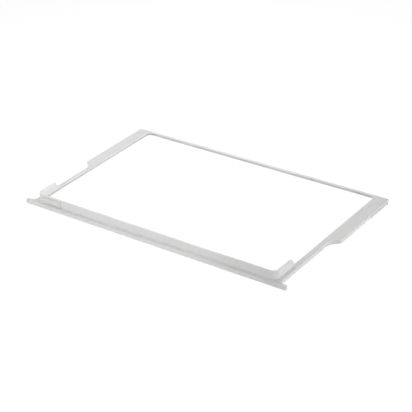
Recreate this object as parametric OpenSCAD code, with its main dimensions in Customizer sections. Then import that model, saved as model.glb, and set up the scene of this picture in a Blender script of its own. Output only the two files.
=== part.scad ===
// Glass shelf of a refrigerator: a toughened glass plate in a one-piece moulded
// frame with two rear side wings, a rounded nose bar and a low front upstand.
// Millimetres. X runs across the shelf, Y from front to back, Z up.
// The origin is the middle of the footprint, on the surface the shelf lies on.

/* [Opening and glass] */
// Clear width between the side rails
opening_w = 460; // [430:1:490]
// Clear depth between the front upstand and the rear rail
opening_d = 295.4; // [265:0.1:325]
// Radius of the opening's two front corners
opening_r = 9; // [8:0.5:14]
// Radius of the opening's two rear corners
opening_rear_r = 6; // [4:0.5:10]
// Thickness of the glass plate
glass_t = 4; // [3:0.1:5]
// How far the glass edge reaches into the frame, all round
glass_bite = 3.6; // [3:0.1:3.8]
// Free play between the glass edge and the bottom of its groove
glass_play = 0.4; // [0.2:0.05:0.5]
// Free play between the glass and the lip above it
lip_gap = 0.2; // [0.1:0.05:0.4]
// Ground chamfer along the edges of the glass
glass_chamfer = 0.4; // [0.2:0.05:0.8]

/* [Frame section] */
// Height of the frame's top above the top of the glass
lip_h = 1.6; // [1.2:0.1:2.4]
// Thickness of the ledge under the glass
ledge_t = 1.9; // [1.5:0.1:2.8]
// How far the ledge stands back from the edge of the lip
ledge_back = 1.8; // [1.2:0.1:2]
// Width of the raised flat band round the opening
band_w = 3.2; // [2.8:0.1:3.8]
// Height of that band above the outer plate
band_rise = 0.6; // [0.3:0.1:0.8]
// Width of the slope from the band down to the outer plate
band_slope_w = 4.2; // [3:0.1:4.4]
// Rounding of the outer top edges
top_edge_r = 0.8; // [0.5:0.1:1.6]
// Rounding of the outer bottom edges
foot_edge_r = 1.4; // [0.6:0.1:1.8]
// Rounding of the lip's inner top edge
lip_r = 0.5; // [0.3:0.1:0.7]

/* [Rails and wings] */
// Width of the side rails in front of the wings
rail_w = 9.1; // [8.7:0.1:12]
// Width of the rear rail
rear_rail_w = 6.5; // [5.7:0.1:9]
// How far a wing reaches out beyond its side rail
wing_w = 14.5; // [12:0.1:22]
// Length of the wings' straight outer edge, back to the corner
wing_len = 148; // [125:1:200]
// Radius of the hollow sweep from rail to wing
sweep_r = 24; // [16:1:40]
// Radius of the wings' front outer corner
wing_corner_r = 3; // [2:0.5:5]
// Radius of the frame's two rear corners
rear_corner_r = 3; // [2.5:0.5:10]

/* [Guide pads] */
// How far the guide pads stand out from the wings
pad_out = 1.5; // [0.6:0.1:2.5]
// Length of a guide pad at its foot
pad_len = 60; // [30:1:80]
// Height of the guide pads
pad_h = 4; // [2.5:0.1:5]
// Length of the ramp at each end of a pad
pad_ramp = 3; // [1.5:0.5:6]

/* [Nose bar] */
// Depth of the nose bar in front of the upstand
nose_d = 6.2; // [5.8:0.1:12]
// How far the nose bar reaches out beyond each side rail
nose_over = 14.4; // [13:0.1:22]
// Radius of the hollow corner between nose bar and side rail
nose_fillet_r = 8; // [4:0.5:9]

/* [Front upstand] */
// Height of the upstand above the raised band
upstand_h = 14; // [8:0.1:30]
// Wall thickness of the upstand
upstand_t = 2.6; // [1.8:0.1:2.8]
// Rounding of the upstand's top edges
upstand_top_r = 0.6; // [0.4:0.1:0.85]
// Length of each side return, along its top
return_len = 43.7; // [30:0.1:90]
// How much further back the return's sloping end lands on the rail
return_slope = 9; // [4:0.5:20]
// Radius of the return's top rear corner
return_tip_r = 2.5; // [1:0.5:4]
// Radius of the hollow foot where the return meets the rail
return_foot_r = 6; // [3:0.5:10]

/* [Plain insert plate] */
// Width of the plain plate let into the upstand
insert_w = 36.5; // [20:0.5:80]
// Height of the plate
insert_h = 10.4; // [6:0.1:12]
// Thickness of the plate
insert_t = 1.5; // [1.2:0.1:1.8]
// Depth of the plate's pocket in the upstand
insert_pocket = 0.9; // [0.6:0.1:1.1]
// Gap round the plate in its pocket
insert_gap = 0.5; // [0.2:0.05:0.6]
// Distance from the start of the upstand's left corner to the plate
insert_inset = 2.3; // [0.5:0.1:20]
// Rounding of the plate's front edges
insert_edge_r = 0.4; // [0.2:0.1:0.5]

/* [Hollows under the frame] */
// Thickness of the moulding's skin over and round the hollows
skin_t = 1.5; // [1.3:0.1:1.9]
// Thickness of the ribs between the hollows
rib_t = 1.4; // [1:0.1:2]
// Wanted distance between the wing ribs
wing_rib_pitch = 37; // [20:1:45]
// Wanted distance between the nose bar ribs
nose_rib_pitch = 45; // [25:1:60]
// Corner radius of the wing hollows
hollow_r = 1.2; // [0.6:0.1:2]

/* [Hidden] */
$fn = 96;
spare = 1;
overlap = 0.2;
foot_sink = 0.02;
snap_step = 0.01;

glass_z = ledge_t;
glass_top = glass_z + glass_t;
band_top = glass_top + lip_h;
plate_h = band_top - band_rise;
upstand_top = band_top + upstand_h;
groove = glass_bite + glass_play;

overall_d = nose_d + upstand_t + opening_d + rear_rail_w;
front_y = -overall_d / 2;
wall_y = front_y + nose_d;
open_front_y = wall_y + upstand_t;
open_rear_y = open_front_y + opening_d;
rear_y = open_rear_y + rear_rail_w;

open_x = opening_w / 2;
rail_x = open_x + rail_w;
wing_x = rail_x + wing_w;
nose_x = rail_x + nose_over;
nose_end_r = nose_d / 2;

corner_y = rear_y - rear_corner_r - wing_len;
sweep_dx = wing_w - wing_corner_r - sweep_r;
sweep_dy = snap(sqrt(pow(sweep_r + wing_corner_r, 2) - pow(sweep_dx, 2))) - snap_step;
sweep_y = corner_y - sweep_dy;
sweep_angle = atan2(sweep_dy, sweep_dx);
sweep_lap = 2;
corner_lap = 12;

return_y = wall_y + return_len;
return_fall = atan2(upstand_h, return_slope);
foot_reach = return_foot_r * tan(return_fall / 2);
tip_reach = return_tip_r * tan(return_fall / 2);
foot_y = return_y + return_slope + foot_reach;

insert_x = -open_x + opening_r + insert_inset;
insert_z = plate_h + insert_gap;
hollow_h = plate_h - skin_t;

// The outline's right half, from the middle of the nose bar round to the
// middle of the rear edge. "bulge" arcs round the material, "hollow" arcs cut in.
// The sweep and the wing's corner each run a little past the point where they meet.
rim = [
    ["line", [0, front_y], [nose_x - nose_end_r, front_y]],
    ["bulge", [nose_x - nose_end_r, front_y + nose_end_r], nose_end_r, -90, 90],
    ["line", [nose_x - nose_end_r, wall_y], [rail_x + nose_fillet_r, wall_y]],
    ["hollow", [rail_x + nose_fillet_r, wall_y + nose_fillet_r], nose_fillet_r, 180, 270],
    ["line", [rail_x, wall_y + nose_fillet_r], [rail_x, sweep_y]],
    ["hollow", [rail_x + sweep_r, sweep_y], sweep_r, 180, sweep_angle - sweep_lap],
    ["bulge", [wing_x - wing_corner_r, corner_y], wing_corner_r, 0, sweep_angle - 180 - corner_lap],
    ["line", [wing_x, corner_y], [wing_x, rear_y - rear_corner_r]],
    ["bulge", [wing_x - rear_corner_r, rear_y - rear_corner_r], rear_corner_r, 0, 90],
    ["line", [wing_x - rear_corner_r, rear_y], [0, rear_y]]
];

// Rounds a length down to a whole number of steps
function snap(v) = floor(v / snap_step) * snap_step;

// The right half of a rectangle's outline, front to rear, with a radius for
// its front corners and one for its rear corners
function rect_rim(half_w, y0, y1, r0, r1) = [
    ["line", [0, y0], [half_w - r0, y0]],
    ["bulge", [half_w - r0, y0 + r0], r0, -90, 0],
    ["line", [half_w, y0 + r0], [half_w, y1 - r1]],
    ["bulge", [half_w - r1, y1 - r1], r1, 0, 90],
    ["line", [half_w - r1, y1], [0, y1]]
];

// Repeats its children mirrored to the left side
module both_sides() {
    children();
    mirror([1, 0, 0])
        children();
}

// Carries a flat section along one straight or round stretch of an outline.
// The section's X points out of the material and its Y points up.
module along(stretch) {
    if (stretch[0] == "line") {
        run = stretch[2] - stretch[1];
        translate([stretch[2][0], stretch[2][1], 0])
            rotate([90, 0, atan2(run[1], run[0]) - 90])
                linear_extrude(norm(run))
                    children();
    } else {
        translate([stretch[1][0], stretch[1][1], 0])
            rotate([0, 0, stretch[3]])
                rotate_extrude(angle = stretch[4] - stretch[3])
                    translate([stretch[2], 0])
                        mirror([stretch[0] == "hollow" ? 1 : 0, 0])
                            children();
    }
}

// A rectangle centred on x, from y0 to y1, with front corners of radius r0
// and rear corners of radius r1
module round_rect(w, y0, y1, r0, r1) {
    translate([r0 - w / 2, y0])
        square([w - 2 * r0, r0]);
    translate([-w / 2, y0 + r0])
        square([w, y1 - y0 - r0 - r1]);
    translate([r1 - w / 2, y1 - r1])
        square([w - 2 * r1, r1]);
    both_sides() {
        translate([w / 2 - r0, y0 + r0])
            circle(r0);
        translate([w / 2 - r1, y1 - r1])
            circle(r1);
    }
}

// The opening's outline, grown outwards by a distance
module opening_outline(grow) {
    y0 = open_front_y - grow;
    y1 = open_rear_y + grow;
    round_rect(opening_w + 2 * grow, y0, y1, opening_r + grow, opening_rear_r + grow);
}

// Plan of the frame's right half, without the opening
module half_plan() {
    translate([0, front_y])
        square([nose_x - nose_end_r, nose_d]);
    translate([nose_x - nose_end_r, front_y + nose_end_r])
        circle(nose_end_r);
    translate([0, wall_y - overlap])
        square([rail_x, rear_y - wall_y + overlap]);
    difference() {
        translate([rail_x - overlap, wall_y - overlap])
            square([nose_fillet_r + overlap, nose_fillet_r + overlap]);
        translate([rail_x + nose_fillet_r, wall_y + nose_fillet_r])
            circle(nose_fillet_r);
    }
    difference() {
        polygon([
            [rail_x - overlap, sweep_y],
            [rail_x + sweep_r, sweep_y],
            [wing_x - wing_corner_r, corner_y],
            [rail_x - overlap, corner_y + overlap]
        ]);
        translate([rail_x + sweep_r, sweep_y])
            circle(sweep_r);
    }
    translate([wing_x - wing_corner_r, corner_y])
        circle(wing_corner_r);
    translate([rail_x - overlap, corner_y])
        square([wing_w + overlap, wing_len]);
    translate([rail_x - overlap, corner_y])
        square([wing_w + overlap - rear_corner_r, rear_y - corner_y]);
    translate([wing_x - rear_corner_r, rear_y - rear_corner_r])
        circle(rear_corner_r);
}

// What is cut from a square outer edge to round it, top and bottom
module edge_waste() {
    difference() {
        translate([-top_edge_r, plate_h - top_edge_r])
            square(top_edge_r + spare);
        translate([-top_edge_r, plate_h - top_edge_r])
            circle(top_edge_r);
    }
    difference() {
        translate([-foot_edge_r, -spare])
            square(foot_edge_r + spare);
        translate([-foot_edge_r, foot_edge_r])
            circle(foot_edge_r);
    }
}

// The flat outer plate with its rounded rim
module outer_plate() {
    difference() {
        linear_extrude(plate_h)
            both_sides()
                half_plan();
        both_sides()
            for (stretch = rim)
                along(stretch)
                    edge_waste();
    }
}

// The raised band round the opening, sloping down to the outer plate
module raised_band() {
    slope_x = open_x + min(band_w + band_slope_w, rail_w - top_edge_r);
    slope_y = open_rear_y + min(band_w + band_slope_w, rear_rail_w - top_edge_r);
    intersection() {
        translate([0, rear_y, 0])
            rotate([90, 0, 0])
                linear_extrude(rear_y - wall_y)
                    polygon([
                        [-slope_x, 0],
                        [-slope_x, plate_h],
                        [-open_x - band_w, band_top],
                        [open_x + band_w, band_top],
                        [slope_x, plate_h],
                        [slope_x, 0]
                    ]);
        rotate([90, 0, 90])
            translate([0, 0, -slope_x])
                linear_extrude(2 * slope_x)
                    polygon([
                        [wall_y, 0],
                        [wall_y, band_top],
                        [open_rear_y + rear_rail_w / 3, band_top],
                        [slope_y, plate_h],
                        [slope_y, 0]
                    ]);
    }
}

// What is cut from the upstand's two top edges to round them, inner face on x = 0
module upstand_waste() {
    for (side = [0, 1])
        translate([side * upstand_t, upstand_top - upstand_top_r])
            mirror([side, 0])
                difference() {
                    translate([-spare, 0])
                        square(upstand_top_r + spare);
                    translate([upstand_top_r, 0])
                        circle(upstand_top_r);
                }
}

// Side view of the upstand: Y runs back along the rail, Z up
module upstand_side() {
    corner = [return_y, upstand_top];
    foot = [return_y + return_slope, band_top];
    tip_centre = corner + [-tip_reach, -return_tip_r];
    foot_centre = foot + [foot_reach, return_foot_r - foot_sink];
    polygon([
        [wall_y, plate_h - overlap],
        [wall_y, upstand_top],
        [return_y - tip_reach, upstand_top],
        tip_centre,
        corner + tip_reach * [cos(return_fall), -sin(return_fall)],
        foot,
        [foot_y, band_top],
        [foot_y, plate_h - overlap]
    ]);
    translate(tip_centre)
        circle(return_tip_r);
    difference() {
        polygon([
            foot + [-overlap, -overlap],
            foot + foot_reach * [-cos(return_fall), sin(return_fall)],
            foot_centre,
            foot + [foot_reach, 0],
            foot + [foot_reach, -overlap]
        ]);
        translate(foot_centre)
            circle(return_foot_r);
    }
}

// The upstand before the opening is cut: front wall and side returns in one
module upstand_block() {
    reach = open_x + upstand_t;
    intersection() {
        translate([0, 0, plate_h - overlap])
            linear_extrude(upstand_top - plate_h + overlap)
                opening_outline(upstand_t);
        translate([-reach, 0, 0])
            rotate([90, 0, 90])
                linear_extrude(2 * reach)
                    upstand_side();
    }
}

// Rounds the top edges of the front wall, its corners and the returns
module upstand_rounding() {
    corner_x = open_x - opening_r;
    side = rect_rim(open_x, open_front_y, foot_y + opening_r, opening_r, opening_r);
    along(["line", [-corner_x, open_front_y], [corner_x, open_front_y]])
        upstand_waste();
    both_sides()
        for (i = [1 : 2])
            along(side[i])
                upstand_waste();
}

// The groove that holds the glass and the wider opening below its ledge
module glass_seat() {
    translate([0, 0, glass_z])
        linear_extrude(glass_t + lip_gap)
            opening_outline(groove);
    translate([0, 0, -spare])
        linear_extrude(ledge_t + 2 * spare)
            opening_outline(ledge_back);
    linear_extrude(upstand_top + spare)
        opening_outline(0);
}

// What is cut from the lip's inner top edge to round it
module lip_waste() {
    difference() {
        translate([-spare, band_top - lip_r])
            square([lip_r + spare, lip_r + spare]);
        translate([lip_r, band_top - lip_r])
            circle(lip_r);
    }
}

// Rounds the lip behind the returns
module lip_rounding() {
    lip = rect_rim(open_x, foot_y - opening_r, open_rear_y, opening_r, opening_rear_r);
    both_sides()
        for (i = [2 : 4])
            along(lip[i])
                lip_waste();
}

// Hollows under one wing, with ribs left between them
module wing_hollows() {
    x0 = open_x + groove + skin_t;
    x1 = wing_x - skin_t;
    y0 = corner_y;
    y1 = rear_y - max(rear_corner_r, skin_t);
    count = max(1, round((y1 - y0) / wing_rib_pitch));
    pitch = snap((y1 - y0 + rib_t) / count);
    for (i = [0 : count - 1])
        translate([(x0 + x1) / 2, 0, -spare])
            linear_extrude(hollow_h + spare)
                round_rect(x1 - x0, y0 + i * pitch, y0 + (i + 1) * pitch - rib_t, hollow_r, hollow_r);
}

// Hollows under the nose bar, with ribs left between them
module nose_hollows() {
    y0 = front_y + skin_t;
    y1 = open_front_y - groove - skin_t;
    x1 = nose_x - nose_end_r;
    count = max(1, round(2 * x1 / nose_rib_pitch));
    pitch = snap((2 * x1 + rib_t) / count);
    for (i = [0 : count - 1])
        translate([-x1 + i * pitch, y0, -spare])
            cube([pitch - rib_t, y1 - y0, hollow_h + spare]);
}

// A low guide pad on the outer side of a wing
module guide_pad() {
    y1 = rear_y - rear_corner_r;
    y0 = y1 - pad_len;
    translate([0, 0, foot_edge_r])
        linear_extrude(pad_h - foot_edge_r)
            polygon([
                [wing_x - skin_t, y0],
                [wing_x, y0],
                [wing_x + pad_out, y0 + pad_ramp],
                [wing_x + pad_out, y1 - pad_ramp],
                [wing_x, y1],
                [wing_x - skin_t, y1]
            ]);
}

// The pocket in the upstand for the plain plate
module insert_pocket_cut() {
    translate([insert_x - insert_gap, wall_y - spare, plate_h])
        cube([insert_w + 2 * insert_gap, insert_pocket + spare, insert_h + 2 * insert_gap]);
}

// What is cut from the glass edge for its ground chamfers
module glass_waste() {
    for (z = [0, glass_t])
        translate([0, z])
            polygon([
                [-glass_chamfer, 0],
                [0, -glass_chamfer],
                [spare, 0],
                [0, glass_chamfer]
            ]);
}

// A plate outline whose two front corners are rounded, with its back on y = 0
module front_rounded(w, t) {
    translate([insert_edge_r, -t])
        square([w - 2 * insert_edge_r, t]);
    translate([0, insert_edge_r - t])
        square([w, t - insert_edge_r]);
    for (x = [insert_edge_r, w - insert_edge_r])
        translate([x, insert_edge_r - t])
            circle(insert_edge_r);
}

module frame() {
    color([0.74, 0.75, 0.74])
        difference() {
            union() {
                outer_plate();
                raised_band();
                upstand_block();
                both_sides()
                    guide_pad();
            }
            glass_seat();
            lip_rounding();
            upstand_rounding();
            insert_pocket_cut();
            nose_hollows();
            both_sides()
                wing_hollows();
        }
}

module glass_plate() {
    edge_x = open_x + glass_bite;
    edge_y0 = open_front_y - glass_bite;
    edge_y1 = open_rear_y + glass_bite;
    front_r = opening_r + glass_bite;
    rear_r = opening_rear_r + glass_bite;
    color([0.82, 0.92, 0.9, 0.35])
        translate([0, 0, glass_z])
            difference() {
                linear_extrude(glass_t)
                    opening_outline(glass_bite);
                both_sides()
                    for (stretch = rect_rim(edge_x, edge_y0, edge_y1, front_r, rear_r))
                        along(stretch)
                            glass_waste();
            }
}

module insert_plate() {
    color([0.72, 0.73, 0.72])
        translate([insert_x, wall_y + insert_pocket, insert_z])
            intersection() {
                linear_extrude(insert_h)
                    front_rounded(insert_w, insert_t);
                rotate([0, -90, 0])
                    mirror([0, 0, 1])
                        linear_extrude(insert_w)
                            front_rounded(insert_h, insert_t);
            }
}

frame();
glass_plate();
insert_plate();
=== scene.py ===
"""Studio view of a refrigerator's glass shelf.

The shelf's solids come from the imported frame. This file gives each of them its
finish, and sets the floor, the softboxes, the room's light and the camera.
Lengths are metres unless their name ends in mm. X runs across the shelf, Y from
front to back and Z up.
"""

import logging
import math
from dataclasses import dataclass, field
from enum import Enum

import bpy
import numpy as np
from mathutils import Matrix, Vector

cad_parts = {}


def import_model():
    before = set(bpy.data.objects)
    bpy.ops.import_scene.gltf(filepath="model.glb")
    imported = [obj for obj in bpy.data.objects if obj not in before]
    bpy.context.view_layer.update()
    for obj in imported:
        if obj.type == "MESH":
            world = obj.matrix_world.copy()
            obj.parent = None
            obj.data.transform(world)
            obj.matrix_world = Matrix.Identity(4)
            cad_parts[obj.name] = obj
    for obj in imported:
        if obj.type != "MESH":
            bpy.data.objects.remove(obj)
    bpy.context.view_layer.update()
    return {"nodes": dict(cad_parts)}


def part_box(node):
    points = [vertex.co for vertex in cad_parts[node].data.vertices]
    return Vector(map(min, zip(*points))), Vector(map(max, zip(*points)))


LOG = logging.getLogger("glass_shelf")
WHITE = (1.0, 1.0, 1.0, 1.0)
SHELF_MIDDLE = (0.0, 0.0, 0.0)

# The Mix node's sockets for colours. They share their names with those for plain values.
MIX_FACTOR_IN = 0
MIX_BASE_IN = 6
MIX_OVER_IN = 7
MIX_COLOUR_OUT = 2


class BoxSize(Enum):
    """The softboxes of the studio, by the side of their square."""

    PALM = 0.12
    SMALL = 0.25
    MEDIUM = 0.3
    LARGE = 0.4
    WIDE = 0.8


def shader_nodes(owner: bpy.types.ID) -> tuple[bpy.types.Nodes, bpy.types.NodeLinks]:
    """Switches an owner to nodes and empties its node tree.

    Args:
        owner: a material or a world.

    Returns:
        The empty node list and the link list of its tree.
    """
    owner.use_nodes = True
    owner.node_tree.nodes.clear()
    return owner.node_tree.nodes, owner.node_tree.links


def seen_directly(nodes: bpy.types.Nodes, links: bpy.types.NodeLinks) -> bpy.types.NodeSocket:
    """Adds the largest of Light Path's camera, glossy and transmission values.

    Args:
        nodes: the node list to add to.
        links: the link list of the same tree.

    Returns:
        The socket that is 1 for those rays and 0 for all others.
    """
    path = nodes.new("ShaderNodeLightPath")
    first = nodes.new("ShaderNodeMath")
    first.operation = "MAXIMUM"
    both = nodes.new("ShaderNodeMath")
    both.operation = "MAXIMUM"
    links.new(path.outputs["Is Camera Ray"], first.inputs[0])
    links.new(path.outputs["Is Glossy Ray"], first.inputs[1])
    links.new(first.outputs[0], both.inputs[0])
    links.new(path.outputs["Is Transmission Ray"], both.inputs[1])
    return both.outputs[0]


@dataclass(frozen=True)
class PaintedSeatShade:
    """Painted shade: a darker strip along both sides of the opening, where the moulding goes
    behind the glass.

    It follows edge, which is how far the glass plate reaches in X, Y and Z. A point lies in
    the strip when its distance from the plane X = 0 is that reach in X less inset, give or
    take half_width, when its Y is at most that reach in Y either way, and when its Z is
    between foot and that reach in Z plus rise.
    """

    edge: tuple[float, float, float]
    inset: float = 0.0021
    half_width: float = 0.002
    foot: float = 0.0001
    rise: float = 0.0006
    # tone: how far the painted shade darkens the colour inside the strip.
    tone: float = 0.72

    def over(
        self, mat: bpy.types.Material, colour: bpy.types.NodeSocket, place: bpy.types.NodeSocket
    ) -> bpy.types.NodeSocket:
        """Paints shade into a colour by darkening it inside the strip.

        Args:
            mat: the material whose tree gets the nodes.
            colour: the colour outside the strip.
            place: the Object coordinates.

        Returns:
            The colour with the painted shade in it.
        """
        nodes, links = mat.node_tree.nodes, mat.node_tree.links
        apart = nodes.new("ShaderNodeSeparateXYZ")
        links.new(place, apart.inputs[0])
        width = nodes.new("ShaderNodeMath")
        width.operation = "ABSOLUTE"
        links.new(apart.outputs["X"], width.inputs[0])
        side, rear, glass_top = self.edge
        top = glass_top + self.rise
        spans = (
            (width.outputs[0], side - self.inset, self.half_width),
            (apart.outputs["Y"], 0.0, rear),
            (apart.outputs["Z"], (top + self.foot) / 2.0, (top - self.foot) / 2.0),
        )
        within = None
        for value, middle, reach in spans:
            near = nodes.new("ShaderNodeMath")
            near.operation = "COMPARE"
            near.inputs[1].default_value = middle
            near.inputs[2].default_value = reach
            links.new(value, near.inputs[0])
            if within is None:
                within = near.outputs[0]
                continue
            both = nodes.new("ShaderNodeMath")
            both.operation = "MULTIPLY"
            links.new(within, both.inputs[0])
            links.new(near.outputs[0], both.inputs[1])
            within = both.outputs[0]
        # Painted shade: inside the strip the colour is multiplied by tone.
        painted_shade = nodes.new("ShaderNodeMix")
        painted_shade.data_type = "RGBA"
        painted_shade.blend_type = "MULTIPLY"
        links.new(within, painted_shade.inputs[MIX_FACTOR_IN])
        links.new(colour, painted_shade.inputs[MIX_BASE_IN])
        painted_shade.inputs[MIX_OVER_IN].default_value = (self.tone, self.tone, self.tone, 1.0)
        return painted_shade.outputs[MIX_COLOUR_OUT]


@dataclass(frozen=True)
class MouldedPlastic:
    """White satin moulding: faint cloudiness in the colour and a fine spark-eroded skin.

    The cloudiness runs from dark to light and from rough_low to rough_high. Below the skin
    light spreads by glow_depth times glow_reach in red, green and blue.
    """

    name: str
    dark: tuple[float, float, float] = (0.770, 0.772, 0.766)
    light: tuple[float, float, float] = (0.789, 0.791, 0.784)
    cloud_scale: float = 22.0
    cloud_detail: float = 3.0
    cloud_low: float = 0.3
    cloud_high: float = 0.7
    rough_low: float = 0.50
    rough_high: float = 0.58
    grain_scale: float = 2600.0
    grain_detail: float = 2.0
    grain_strength: float = 0.5
    grain_depth: float = 0.000006
    ior: float = 1.47
    gloss: float = 0.3
    glow_depth: float = 0.0005
    glow_share: float = 1.0
    glow_reach: tuple[float, float, float] = (1.0, 0.97, 0.94)
    # An optional strip of painted shade beside the glass.
    painted_seat_shade: PaintedSeatShade | None = None

    def build(self) -> bpy.types.Material:
        """Makes the material.

        Returns:
            The finished material.
        """
        mat = bpy.data.materials.new(self.name)
        nodes, links = shader_nodes(mat)
        out = nodes.new("ShaderNodeOutputMaterial")
        bsdf = nodes.new("ShaderNodeBsdfPrincipled")
        bsdf.inputs["IOR"].default_value = self.ior
        bsdf.inputs["Specular IOR Level"].default_value = self.gloss
        bsdf.inputs["Subsurface Weight"].default_value = self.glow_share
        bsdf.inputs["Subsurface Radius"].default_value = self.glow_reach
        bsdf.inputs["Subsurface Scale"].default_value = self.glow_depth
        links.new(bsdf.outputs["BSDF"], out.inputs["Surface"])
        coords = nodes.new("ShaderNodeTexCoord")
        cloud = nodes.new("ShaderNodeTexNoise")
        cloud.inputs["Scale"].default_value = self.cloud_scale
        cloud.inputs["Detail"].default_value = self.cloud_detail
        links.new(coords.outputs["Object"], cloud.inputs["Vector"])
        tone = nodes.new("ShaderNodeValToRGB")
        tone.color_ramp.elements[0].position = self.cloud_low
        tone.color_ramp.elements[1].position = self.cloud_high
        tone.color_ramp.elements[0].color = (*self.dark, 1.0)
        tone.color_ramp.elements[1].color = (*self.light, 1.0)
        links.new(cloud.outputs["Fac"], tone.inputs["Fac"])
        colour = tone.outputs["Color"]
        # Paints the shade along the glass seat into the colour.
        if self.painted_seat_shade is not None:
            colour = self.painted_seat_shade.over(mat, colour, coords.outputs["Object"])
        links.new(colour, bsdf.inputs["Base Color"])
        rough = nodes.new("ShaderNodeMapRange")
        rough.inputs["To Min"].default_value = self.rough_low
        rough.inputs["To Max"].default_value = self.rough_high
        links.new(cloud.outputs["Fac"], rough.inputs["Value"])
        links.new(rough.outputs["Result"], bsdf.inputs["Roughness"])
        grain = nodes.new("ShaderNodeTexNoise")
        grain.inputs["Scale"].default_value = self.grain_scale
        grain.inputs["Detail"].default_value = self.grain_detail
        links.new(coords.outputs["Object"], grain.inputs["Vector"])
        bump = nodes.new("ShaderNodeBump")
        bump.inputs["Strength"].default_value = self.grain_strength
        bump.inputs["Distance"].default_value = self.grain_depth
        links.new(grain.outputs["Fac"], bump.inputs["Height"])
        links.new(bump.outputs["Normal"], bsdf.inputs["Normal"])
        return mat


@dataclass(frozen=True)
class ClearGlass:
    """Clear toughened glass with faint roller waves."""

    name: str
    tint: tuple[float, float, float] = (0.992, 1.0, 0.996)
    ior: float = 1.52
    wave_scale: float = 14.0
    wave_strength: float = 0.2
    wave_depth: float = 0.00001

    def build(self) -> bpy.types.Material:
        """Makes the material.

        Returns:
            The finished material.
        """
        mat = bpy.data.materials.new(self.name)
        nodes, links = shader_nodes(mat)
        out = nodes.new("ShaderNodeOutputMaterial")
        bsdf = nodes.new("ShaderNodeBsdfPrincipled")
        bsdf.inputs["Base Color"].default_value = (*self.tint, 1.0)
        bsdf.inputs["Transmission Weight"].default_value = 1.0
        bsdf.inputs["Roughness"].default_value = 0.0
        bsdf.inputs["IOR"].default_value = self.ior
        path = nodes.new("ShaderNodeLightPath")
        clear = nodes.new("ShaderNodeBsdfTransparent")
        mix = nodes.new("ShaderNodeMixShader")
        links.new(path.outputs["Is Shadow Ray"], mix.inputs["Fac"])
        links.new(bsdf.outputs["BSDF"], mix.inputs[1])
        links.new(clear.outputs["BSDF"], mix.inputs[2])
        links.new(mix.outputs[0], out.inputs["Surface"])
        coords = nodes.new("ShaderNodeTexCoord")
        waves = nodes.new("ShaderNodeTexNoise")
        waves.inputs["Scale"].default_value = self.wave_scale
        links.new(coords.outputs["Object"], waves.inputs["Vector"])
        bump = nodes.new("ShaderNodeBump")
        bump.inputs["Strength"].default_value = self.wave_strength
        bump.inputs["Distance"].default_value = self.wave_depth
        links.new(waves.outputs["Fac"], bump.inputs["Height"])
        links.new(bump.outputs["Normal"], bsdf.inputs["Normal"])
        return mat


@dataclass
class Shelf:
    """The shelf itself: the frame, the glass and the plain plate, as packed."""

    nodes: dict[str, bpy.types.Object]

    def dress(self) -> None:
        """Gives every node its finish."""
        # The frame's moulding gets a strip of painted shade beside the glass.
        painted_seat_shade = PaintedSeatShade(edge=tuple(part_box("glass_plate")[1]))
        finishes = {
            "frame": MouldedPlastic("moulded_plastic", painted_seat_shade=painted_seat_shade),
            "glass_plate": ClearGlass("clear_glass"),
            "insert_plate": MouldedPlastic("plate_plastic"),
        }
        for name, finish in finishes.items():
            mesh = self.nodes[name].data
            mesh.materials.clear()
            mesh.materials.append(finish.build())
            LOG.info("%s: dressed in %s", name, finish.name)


@dataclass
class Floor:
    """A pale floor that reads white to the eye and keeps a faint shadow."""

    half_size: float = 4.0
    drop: float = 0.0002
    bounce: tuple[float, float, float] = (0.80, 0.80, 0.80)
    shade: tuple[float, float, float] = (0.10, 0.10, 0.10)
    glow: float = 0.955

    def grid(self) -> np.ndarray:
        """Works out the corners: x and y are half_size either way, z is the drop below zero.

        Returns:
            The four corners, counter-clockwise from above.
        """
        side = np.array([[-1.0, -1.0], [1.0, -1.0], [1.0, 1.0], [-1.0, 1.0]]) * self.half_size
        return np.column_stack([side, np.full(4, -self.drop)])

    def build(self) -> bpy.types.Object:
        """Makes the floor and its material.

        Returns:
            The floor's object.
        """
        mesh = bpy.data.meshes.new("floor")
        mesh.from_pydata(self.grid().tolist(), [], [(0, 1, 2, 3)])
        floor = bpy.data.objects.new("floor", mesh)
        bpy.context.scene.collection.objects.link(floor)
        mesh.materials.append(self.material())
        return floor

    def material(self) -> bpy.types.Material:
        """Makes the floor's finish: diffuse for bounced light, mostly glow for the eye.

        Returns:
            The finished material.
        """
        mat = bpy.data.materials.new("pale_floor")
        nodes, links = shader_nodes(mat)
        out = nodes.new("ShaderNodeOutputMaterial")
        matt = nodes.new("ShaderNodeBsdfDiffuse")
        matt.inputs["Color"].default_value = (*self.bounce, 1.0)
        shade = nodes.new("ShaderNodeBsdfDiffuse")
        shade.inputs["Color"].default_value = (*self.shade, 1.0)
        glow = nodes.new("ShaderNodeEmission")
        glow.inputs["Color"].default_value = WHITE
        glow.inputs["Strength"].default_value = self.glow
        sight = nodes.new("ShaderNodeAddShader")
        links.new(shade.outputs[0], sight.inputs[0])
        links.new(glow.outputs[0], sight.inputs[1])
        mix = nodes.new("ShaderNodeMixShader")
        links.new(seen_directly(nodes, links), mix.inputs["Fac"])
        links.new(matt.outputs[0], mix.inputs[1])
        links.new(sight.outputs[0], mix.inputs[2])
        links.new(mix.outputs[0], out.inputs["Surface"])
        return mat


@dataclass
class Softbox:
    """A square area lamp, turned to the shelf's middle."""

    name: str
    place: tuple[float, float, float]
    size: BoxSize
    power: float

    def build(self) -> bpy.types.Object:
        """Makes the lamp.

        Returns:
            The lamp's object.
        """
        lamp = bpy.data.lights.new(self.name, "AREA")
        lamp.shape = "SQUARE"
        lamp.size = self.size.value
        lamp.energy = self.power
        obj = bpy.data.objects.new(self.name, lamp)
        obj.location = self.place
        towards = Vector(SHELF_MIDDLE) - Vector(self.place)
        obj.rotation_euler = towards.to_track_quat("-Z", "Y").to_euler()
        obj.visible_camera = False
        obj.visible_glossy = False
        obj.visible_transmission = False
        bpy.context.scene.collection.objects.link(obj)
        return obj


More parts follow.
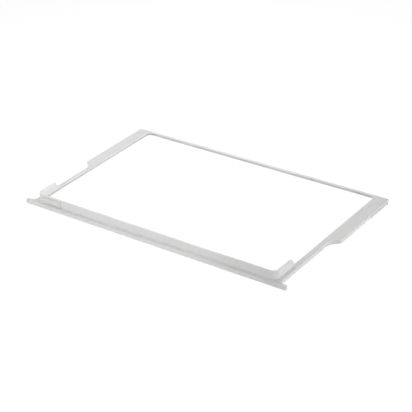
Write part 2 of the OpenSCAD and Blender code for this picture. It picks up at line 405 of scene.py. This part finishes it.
@dataclass
class Room:
    """The room's even light, white to the eye and in reflections."""

    fill: float = 0.2
    seen: float = 1.0

    def build(self) -> bpy.types.World:
        """Makes the world.

        Returns:
            The world that the scene uses.
        """
        world = bpy.data.worlds.new("studio")
        bpy.context.scene.world = world
        nodes, links = shader_nodes(world)
        out = nodes.new("ShaderNodeOutputWorld")
        fill = nodes.new("ShaderNodeBackground")
        fill.inputs["Color"].default_value = WHITE
        fill.inputs["Strength"].default_value = self.fill
        white = nodes.new("ShaderNodeBackground")
        white.inputs["Color"].default_value = WHITE
        white.inputs["Strength"].default_value = self.seen
        mix = nodes.new("ShaderNodeMixShader")
        links.new(seen_directly(nodes, links), mix.inputs["Fac"])
        links.new(fill.outputs[0], mix.inputs[1])
        links.new(white.outputs[0], mix.inputs[2])
        links.new(mix.outputs[0], out.inputs["Surface"])
        return world


@dataclass
class Camera:
    """The photograph's viewpoint, fitted to the shelf's straight edges."""

    place: tuple[float, float, float] = (1.13958, -1.53390, 1.05600)
    target: tuple[float, float, float] = (0.0067970, -0.0085395, 0.0)
    roll_deg: float = 2.4501
    lens_mm: float = 116.9025
    sensor_mm: float = 36.0
    nearest: float = 0.05
    farthest: float = 50.0

    def build(self) -> bpy.types.Object:
        """Makes the camera: it looks at the target, then rolls about its own axis.

        Returns:
            The camera's object, set as the scene's camera.
        """
        data = bpy.data.cameras.new("viewpoint")
        data.lens = self.lens_mm
        data.sensor_width = self.sensor_mm
        data.clip_start = self.nearest
        data.clip_end = self.farthest
        cam = bpy.data.objects.new("viewpoint", data)
        towards = Vector(self.target) - Vector(self.place)
        level = towards.to_track_quat("-Z", "Y").to_matrix()
        turn = Matrix.Rotation(-math.radians(self.roll_deg), 3, "Z")
        cam.matrix_world = Matrix.Translation(self.place) @ (level @ turn).to_4x4()
        bpy.context.scene.collection.objects.link(cam)
        bpy.context.scene.camera = cam
        return cam


@dataclass
class Studio:
    """Floor, lamps, room light and camera together."""

    floor: Floor = field(default_factory=Floor)
    room: Room = field(default_factory=Room)
    camera: Camera = field(default_factory=Camera)
    lamps: list[Softbox] = field(
        default_factory=lambda: [
            Softbox("front_low", (0.0, -0.9, 0.25), BoxSize.LARGE, 2.39),
            Softbox("front_left_near", (-0.3, -0.55, 0.12), BoxSize.MEDIUM, 0.36),
            Softbox("far_right", (2.4, -0.1, 0.6), BoxSize.WIDE, 19.4),
            Softbox("far_right_back", (2.2, 1.4, 0.5), BoxSize.WIDE, 15.4),
            Softbox("left_high", (-0.6, 0.3, 0.45), BoxSize.LARGE, 0.99),
            Softbox("left_low", (-0.9, 0.0, 0.2), BoxSize.LARGE, 1.71),
            Softbox("over_left_half", (-0.1, -0.05, 0.3), BoxSize.SMALL, 0.3),
            Softbox("over_middle", (0.1, 0.0, 0.35), BoxSize.SMALL, 0.25),
            Softbox("low_over_right_front", (0.12, -0.12, 0.1), BoxSize.PALM, 0.022),
            Softbox("back_low", (0.0, 0.8, 0.2), BoxSize.LARGE, 2.67),
        ]
    )

    def build(self) -> None:
        """Builds the whole studio and sets the plain view transform."""
        self.floor.build()
        self.room.build()
        for lamp in self.lamps:
            lamp.build()
        self.camera.build()
        bpy.context.scene.view_settings.view_transform = "Standard"
        LOG.info("studio: floor, %d lamps, room light and camera", len(self.lamps))


def main() -> None:
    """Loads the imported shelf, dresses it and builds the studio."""
    logging.basicConfig(level=logging.INFO, format="%(name)s: %(message)s")
    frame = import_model()
    Shelf(frame["nodes"]).dress()
    Studio().build()


if __name__ == "__main__":
    main()
